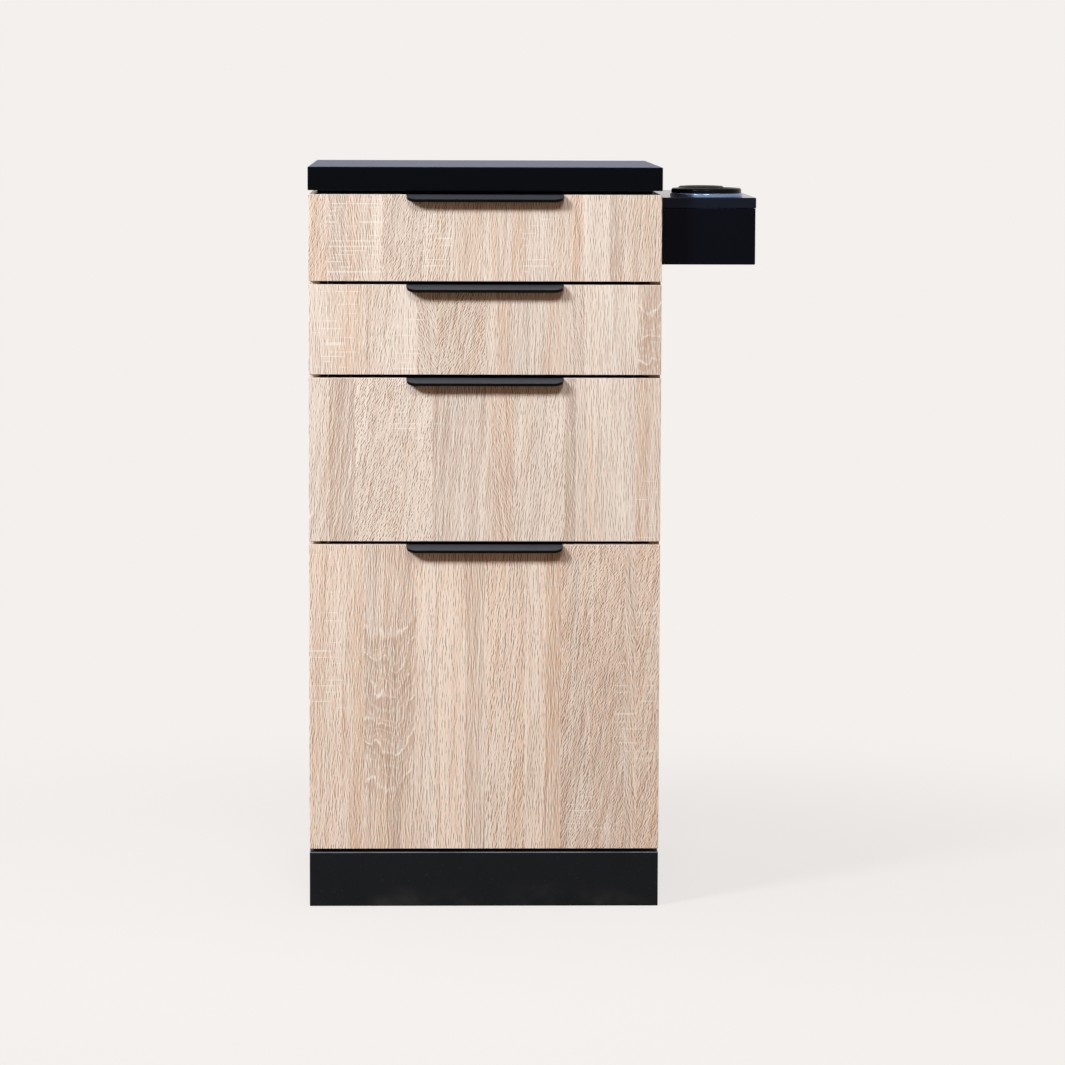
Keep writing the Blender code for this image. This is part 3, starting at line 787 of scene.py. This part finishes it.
def make_front(drawer):
    """A drawer front, cut down along its top edge where the pull is let in."""
    node = f"{drawer}_front"
    low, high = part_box(node)
    pull_low, pull_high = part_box(f"{drawer}_handle")
    left = pull_low.x - FIT_GAP
    right = pull_high.x + FIT_GAP
    seat = high.z - PULL_SHEET - FIT_GAP
    outline = [(low.x, high.z), (low.x, low.z), (high.x, low.z), (high.x, high.z)]
    outline += [(right, high.z), (right, seat), (left, seat), (left, high.z)]
    shape = bmesh.new()
    face = shape.faces.new([shape.verts.new((x, low.y, z)) for x, z in outline])
    grown = bmesh.ops.extrude_face_region(shape, geom=[face])["geom"]
    rear = [part for part in grown if isinstance(part, bmesh.types.BMVert)]
    bmesh.ops.translate(shape, vec=(0, high.y - low.y, 0), verts=rear)
    ease_board(node, shape, BOARD_EASE)


def make_boards():
    plain = ["base_panel", "carcass_top", "back_panel", "top_spacer"]
    plain += ["plinth_back", "plinth_left", "plinth_right"]
    for drawer in DRAWERS:
        plain += [f"{drawer}_{part}" for part in ("left_side", "right_side", "back", "bottom")]
    for node in plain:
        make_board(node, BOARD_EASE)
    for node in ("worktop", "plinth_front"):
        make_board(node, SLAB_EASE)
    for drawer in DRAWERS:
        make_front(drawer)


def pull_rows(reach, half):
    """An edge pull's middle surface: (half its length, y, z) from its leg's foot to the tip of its lip.

    Zero is the top edge of the front's face, with which the pull lies flush.
    """
    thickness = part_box("top_drawer_front")[1].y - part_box("top_drawer_front")[0].y
    crown = -PULL_SHEET / 2
    back = thickness + FIT_GAP + PULL_SHEET / 2
    rows = [(half, back, -PULL_LEG)]
    bend = arc((back - PULL_BEND, crown - PULL_BEND), PULL_BEND, 0, 90, BEND_STEPS)
    rows += [(half, y, z) for y, z in bend]
    rows += [(half, 0.0, crown)]
    plan = arc((half - PULL_CORNER, reach - PULL_CORNER), PULL_CORNER, 0, 90, CORNER_STEPS)
    rows += [(x, -out, crown - PULL_DROP * out / reach) for x, out in plan]
    return rows


def make_pull(drawer):
    node = f"{drawer}_handle"
    low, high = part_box(node)
    front_low, front_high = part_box(f"{drawer}_front")
    middle = Vector(((low.x + high.x) / 2, front_low.y, front_high.z))
    tip = front_low.y - low.y
    reach = tip
    for _ in range(PULL_FIT_ROUNDS):
        reach = tip - PULL_SHEET / 2 * PULL_DROP / hypot(reach, PULL_DROP)
    rows = pull_rows(reach, (high.x - low.x) / 2)
    shape = bmesh.new()
    bmesh.ops.create_grid(shape, x_segments=1, y_segments=len(rows) - 1, size=1.0)
    shape.verts.ensure_lookup_table()
    for index, (half, y, z) in enumerate(rows):
        shape.verts[2 * index].co = middle + Vector((-half, y, z))
        shape.verts[2 * index + 1].co = middle + Vector((half, y, z))
    pull = piece(f"{drawer}_pull", shape, drawer, "black_aluminium", (node,))
    sheet = pull.modifiers.new("sheet", "SOLIDIFY")
    sheet.thickness = PULL_SHEET
    sheet.offset = 0.0
    sheet.use_even_offset = True
    ease = pull.modifiers.new("ease", "BEVEL")
    ease.width = PULL_EASE
    ease.segments = PULL_EASE_STEPS
    ease.limit_method = "ANGLE"
    ease.angle_limit = radians(PULL_EASE_ANGLE)
    keep_flats_flat(pull)

    screws = bmesh.new()
    for offset in PULL_SCREWS:
        spot = Vector((middle.x + offset, high.y, front_high.z - PULL_LEG / 2))
        add_screw_head(screws, facing(spot, (0, 1, 0)), WOOD_SCREW_HEAD, WOOD_SCREW_RISE)
    piece(f"{drawer}_pull_screws", screws, drawer, "zinc_steel")


def channel_path(height, depth):
    """A channel's middle surface across its length: (depth from its back, height)."""
    web = SLIDE_SHEET / 2
    edge = height / 2 - web
    low_bend = arc((web + SLIDE_BEND, SLIDE_BEND - edge), SLIDE_BEND, 270, 180, BEND_STEPS)
    high_bend = arc((web + SLIDE_BEND, edge - SLIDE_BEND), SLIDE_BEND, 180, 90, BEND_STEPS)
    slot = [(web, -SLOT_HALF), (web, SLOT_HALF)]
    return [(depth, -edge)] + low_bend + slot + high_bend + [(depth, edge)]


def make_channel(node, back_is_low):
    """A rolled slide member with slots in its web, and the screws that hold it."""
    low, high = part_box(node)
    middle = (low.z + high.z) / 2
    length = high.y - low.y
    back = low.x if back_is_low else high.x
    outwards = 1 if back_is_low else -1
    path = channel_path(high.z - low.z, high.x - low.x)
    columns = [low.y]
    for place in SLOT_PLACES:
        centre = low.y + place * length
        columns += [centre - SLOT_LENGTH / 2, centre + SLOT_LENGTH / 2]
    columns.append(high.y)
    shape = bmesh.new()
    rows = [[shape.verts.new((back + outwards * d, y, middle + h)) for y in columns] for d, h in path]
    slot_row = path.index((SLIDE_SHEET / 2, -SLOT_HALF))
    for index, (row, after) in enumerate(zip(rows, rows[1:])):
        for column in range(len(columns) - 1):
            if index == slot_row and column % 2 == 1:
                continue
            shape.faces.new((row[column], row[column + 1], after[column + 1], after[column]))
    channel = piece(f"{node}_channel", shape, BODY_OF[node], "zinc_steel", (node,))
    sheet = channel.modifiers.new("sheet", "SOLIDIFY")
    sheet.thickness = SLIDE_SHEET
    sheet.offset = 0.0
    sheet.use_even_offset = True

    screws = bmesh.new()
    for place in SLIDE_SCREWS:
        spot = Vector((back + outwards * SLIDE_SHEET, low.y + place * length, middle))
        add_screw_head(screws, facing(spot, (outwards, 0, 0)), WOOD_SCREW_HEAD, WOOD_SCREW_RISE)
    piece(f"{node}_screws", screws, BODY_OF[node], "zinc_steel")


def make_slides():
    for drawer in DRAWERS:
        for side in SIDES:
            make_channel(f"{drawer}_{side}_runner", side == "left")
            make_channel(f"{drawer}_{side}_rail", side == "right")


def make_caps(drawer):
    """Caps over the cam locks that hold each side of the box to its front."""
    outline = [(0.0, 0.0), (CAP_RADIUS, 0.0), (CAP_RADIUS, CAP_WALL * CAP_RISE)]
    outline += [(CAP_CROWN * CAP_RADIUS, CAP_RISE), (0.0, CAP_RISE)]
    shape = bmesh.new()
    for side in SIDES:
        low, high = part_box(f"{drawer}_{side}_side")
        inner = high.x if side == "left" else low.x
        inwards = 1 if side == "left" else -1
        for share in CAP_LEVELS:
            spot = Vector((inner, low.y + CAP_SETBACK, low.z + share * (high.z - low.z)))
            add_turned(shape, outline, facing(spot, (inwards, 0, 0)), SCREW_STEPS)
    piece(f"{drawer}_caps", shape, drawer, "cap_plastic")


def make_back_screws():
    """Screws round the back panel's edge."""
    low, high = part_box("back_panel")
    left = low.x + BACK_SCREW_EDGE
    right = high.x - BACK_SCREW_EDGE
    foot = low.z + BACK_SCREW_EDGE
    head = high.z - BACK_SCREW_EDGE
    spots = [((left + right) / 2, foot), ((left + right) / 2, head)]
    for row in range(BACK_SCREW_ROWS):
        level = foot + (head - foot) * row / (BACK_SCREW_ROWS - 1)
        spots += [(left, level), (right, level)]
    shape = bmesh.new()
    for x, z in spots:
        spot = Vector((x, high.y, z))
        add_screw_head(shape, facing(spot, (0, 1, 0)), WOOD_SCREW_HEAD, WOOD_SCREW_RISE)
    piece("back_panel_screws", shape, "cabinet", "zinc_steel")


def make_mouth(name):
    """A polished collar in the lid, and the soft rim that is bedded on it."""
    low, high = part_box(f"{name}_collar")
    outer = (high.x - low.x) / 2
    bore = outer - COLLAR_WIDTH
    neck = bore + COLLAR_NECK
    seat = high.z - COLLAR_FLANGE
    tail = low.z - seat
    place = Matrix.Translation(((low.x + high.x) / 2, (low.y + high.y) / 2, seat))
    outline = arc((outer - COLLAR_EASE, COLLAR_FLANGE - COLLAR_EASE), COLLAR_EASE, 0, 90, ROUND_STEPS)
    outline += arc((bore + COLLAR_EASE, COLLAR_FLANGE - COLLAR_EASE), COLLAR_EASE, 90, 180, ROUND_STEPS)
    outline += [(bore, tail), (neck, tail), (neck, FIT_GAP), (outer, FIT_GAP)]
    shape = bmesh.new()
    add_turned(shape, outline, place, RING_STEPS)
    piece(f"{name}_mouth_collar", shape, "cabinet", "dark_steel", (f"{name}_collar",))

    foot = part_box(f"{name}_rim")[0].z - seat
    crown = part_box(f"{name}_rim")[1].z - seat
    edge = bore + RIM_WIDTH
    outline = arc((edge - RIM_ROUND, crown - RIM_ROUND), RIM_ROUND, 0, 90, ROUND_STEPS)
    outline += arc((bore + RIM_ROUND, crown - RIM_ROUND), RIM_ROUND, 90, 180, ROUND_STEPS)
    outline += [(bore, foot), (edge, foot)]
    shape = bmesh.new()
    add_turned(shape, outline, place, RING_STEPS)
    piece(f"{name}_mouth_rim", shape, "cabinet", "black_rubber", (f"{name}_rim",))


def make_holder_tray():
    """The holder's box with eased edges, open at its top and towards its mounting board."""
    low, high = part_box("holder_box")
    shape = bmesh.new()
    bmesh.ops.create_cube(shape, size=1.0)
    bmesh.ops.scale(shape, vec=high - low, verts=shape.verts)
    bmesh.ops.translate(shape, vec=(low + high) / 2, verts=shape.verts)
    open_faces = [face for face in shape.faces if face.normal.z > 0.5 or face.normal.x < -0.5]
    bmesh.ops.delete(shape, geom=open_faces, context="FACES")
    folds = [edge for edge in shape.edges if not edge.is_boundary]
    bmesh.ops.bevel(
        shape, geom=folds, offset=HOLDER_EASE, segments=HOLDER_EASE_STEPS, profile=0.5, affect="EDGES"
    )
    plastic = "black_gloss_plastic"
    tray = piece("holder_tray", shape, "cabinet", plastic, ("holder_box",))
    wall = tray.modifiers.new("wall", "SOLIDIFY")
    wall.thickness = HOLDER_WALL
    wall.offset = -1.0
    wall.use_even_offset = True
    keep_flats_flat(tray)


def make_holder_screw(node):
    """A threaded screw with a domed head inside the holder."""
    low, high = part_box(node)
    head_radius = (high.z - low.z) / 2
    head_seat = high.x - HOLDER_HEAD
    place = facing(Vector((head_seat, (low.y + high.y) / 2, (low.z + high.z) / 2)), (1, 0, 0))
    shape = bmesh.new()
    add_screw_head(shape, place, head_radius, high.x - head_seat)
    shank = head_seat - low.x
    pitch = (THREAD_END - THREAD_START) * shank / THREAD_TURNS
    root = HOLDER_SHANK - THREAD_DEPTH
    outline = [(0.0, -SHANK_GAP), (HOLDER_SHANK, -SHANK_GAP), (HOLDER_SHANK, -THREAD_START * shank)]
    for turn in range(THREAD_TURNS):
        level = -THREAD_START * shank - turn * pitch
        outline += [(root, level - THREAD_ROOT * pitch), (HOLDER_SHANK, level - THREAD_CREST * pitch)]
    outline += [(root, -THREAD_END * shank), (0.0, -shank)]
    add_turned(shape, outline, place, SCREW_STEPS)
    piece(f"{node}_threaded", shape, "cabinet", "zinc_steel", (node,))


def make_pieces():
    make_boards()
    make_slides()
    make_back_screws()
    make_holder_tray()
    for name in ("dryer", "iron"):
        make_mouth(name)
    for name in ("front", "rear"):
        make_holder_screw(f"holder_{name}_screw")
    for drawer in DRAWERS:
        make_pull(drawer)
        make_caps(drawer)


def make_camera():
    data = bpy.data.cameras.new("camera")
    data.sensor_width = SENSOR
    data.lens = LENS
    data.clip_end = CLIP_END
    camera = bpy.data.objects.new("camera", data)
    bpy.context.scene.collection.objects.link(camera)
    turn = Matrix.Rotation(radians(CAMERA_YAW), 4, "Z")
    tilt = Matrix.Rotation(radians(90 - CAMERA_PITCH), 4, "X")
    roll = Matrix.Rotation(radians(CAMERA_ROLL), 4, "Z")
    camera.matrix_world = Matrix.Translation(FACE + CAMERA_FROM_FACE) @ turn @ tilt @ roll
    bpy.context.scene.camera = camera


def make_lamp(name, from_face, size, power):
    data = bpy.data.lights.new(name, "AREA")
    data.shape = "DISK"
    data.size = size
    data.energy = power
    data.color = LAMP_COLOUR
    lamp = bpy.data.objects.new(name, data)
    bpy.context.scene.collection.objects.link(lamp)
    lamp.location = FACE + from_face
    aim = FACE + Vector((0, 0, LAMP_AIM_HEIGHT)) - lamp.location
    lamp.rotation_mode = "QUATERNION"
    lamp.rotation_quaternion = aim.to_track_quat("-Z", "Y")


def make_world():
    """The backdrop's colour where it is seen. As light, a dim warm fill and more from above and behind."""
    world = bpy.data.worlds.new("studio")
    bpy.context.scene.world = world
    world.use_nodes = True
    graph = Graph(world.node_tree)
    backdrop = world.node_tree.nodes["Background"]
    graph.put(backdrop.inputs["Color"], BACKDROP)
    _, y, z = graph.place("Generated")
    fill = graph.mix(graph.span(y, -0.2, 0.6), FRONT_FILL, BACK_FILL)
    fill = graph.mix(graph.span(z, 0.80, 0.95), fill, TOP_FILL)
    soft = graph.add("Background", {"Color": fill})
    both = graph.add("MixShader", {0: graph.seen(), 1: soft.outputs[0], 2: backdrop.outputs[0]})
    graph.put(world.node_tree.nodes["World Output"].inputs["Surface"], both.outputs[0])


def make_floor():
    """A pale floor that takes the object's shadow and meets the backdrop with no line."""
    material, graph = new_material("floor")
    x, y, z = graph.place()
    mottle = graph.noise(graph.vector(x, y, z), 2.0, 0.5, 3.0)
    pale = tuple(FLOOR_ALBEDO * channel for channel in BACKDROP)
    tone = graph.mix(graph.seen(), FLOOR_BOUNCE, pale)
    graph.set({"Base Color": graph.mix(graph.math("MULTIPLY_ADD", mottle, 0.04, 0.96), BLACK, tone)})
    graph.set({"Roughness": 0.9, "Specular IOR Level": 0.0})
    glow = graph.add("Emission", {"Color": BACKDROP})
    away = graph.math("SQRT", graph.math("ADD", graph.product(x, x), graph.product(y, y)))
    far = graph.span(away, SHADOW_NEAR, SHADOW_FAR)
    low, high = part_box("plinth_front")
    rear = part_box("plinth_back")[1].y
    across = graph.inside(x, low.x, high.x, FLOOR_SEAM)
    covered = graph.product(across, graph.inside(y, low.y, rear, FLOOR_SEAM))
    open_floor = graph.math("SUBTRACT", 1.0, covered)
    share = graph.math("MULTIPLY_ADD", far, 1 - FLOOR_GLOW, FLOOR_GLOW)
    share = graph.product(graph.seen(), share, open_floor)
    both = graph.add("MixShader", {0: share, 1: graph.shader.outputs[0], 2: glow.outputs[0]})
    graph.put(material.node_tree.nodes["Material Output"].inputs["Surface"], both.outputs[0])
    shape = bmesh.new()
    bmesh.ops.create_grid(shape, x_segments=1, y_segments=1, size=FLOOR_HALF)
    mesh = bpy.data.meshes.new("floor")
    shape.to_mesh(mesh)
    shape.free()
    mesh.materials.append(material)
    floor = bpy.data.objects.new("floor", mesh)
    bpy.context.scene.collection.objects.link(floor)


bpy.context.scene.view_settings.view_transform = "Standard"
make_camera()
make_lamp("key", KEY_FROM_FACE, KEY_SIZE, KEY_POWER)
make_lamp("head", HEAD_FROM_FACE, HEAD_SIZE, HEAD_POWER)
make_world()
make_floor()
for cad_node in NODES:
    dress(cad_node, finish_of(cad_node))
make_pieces()
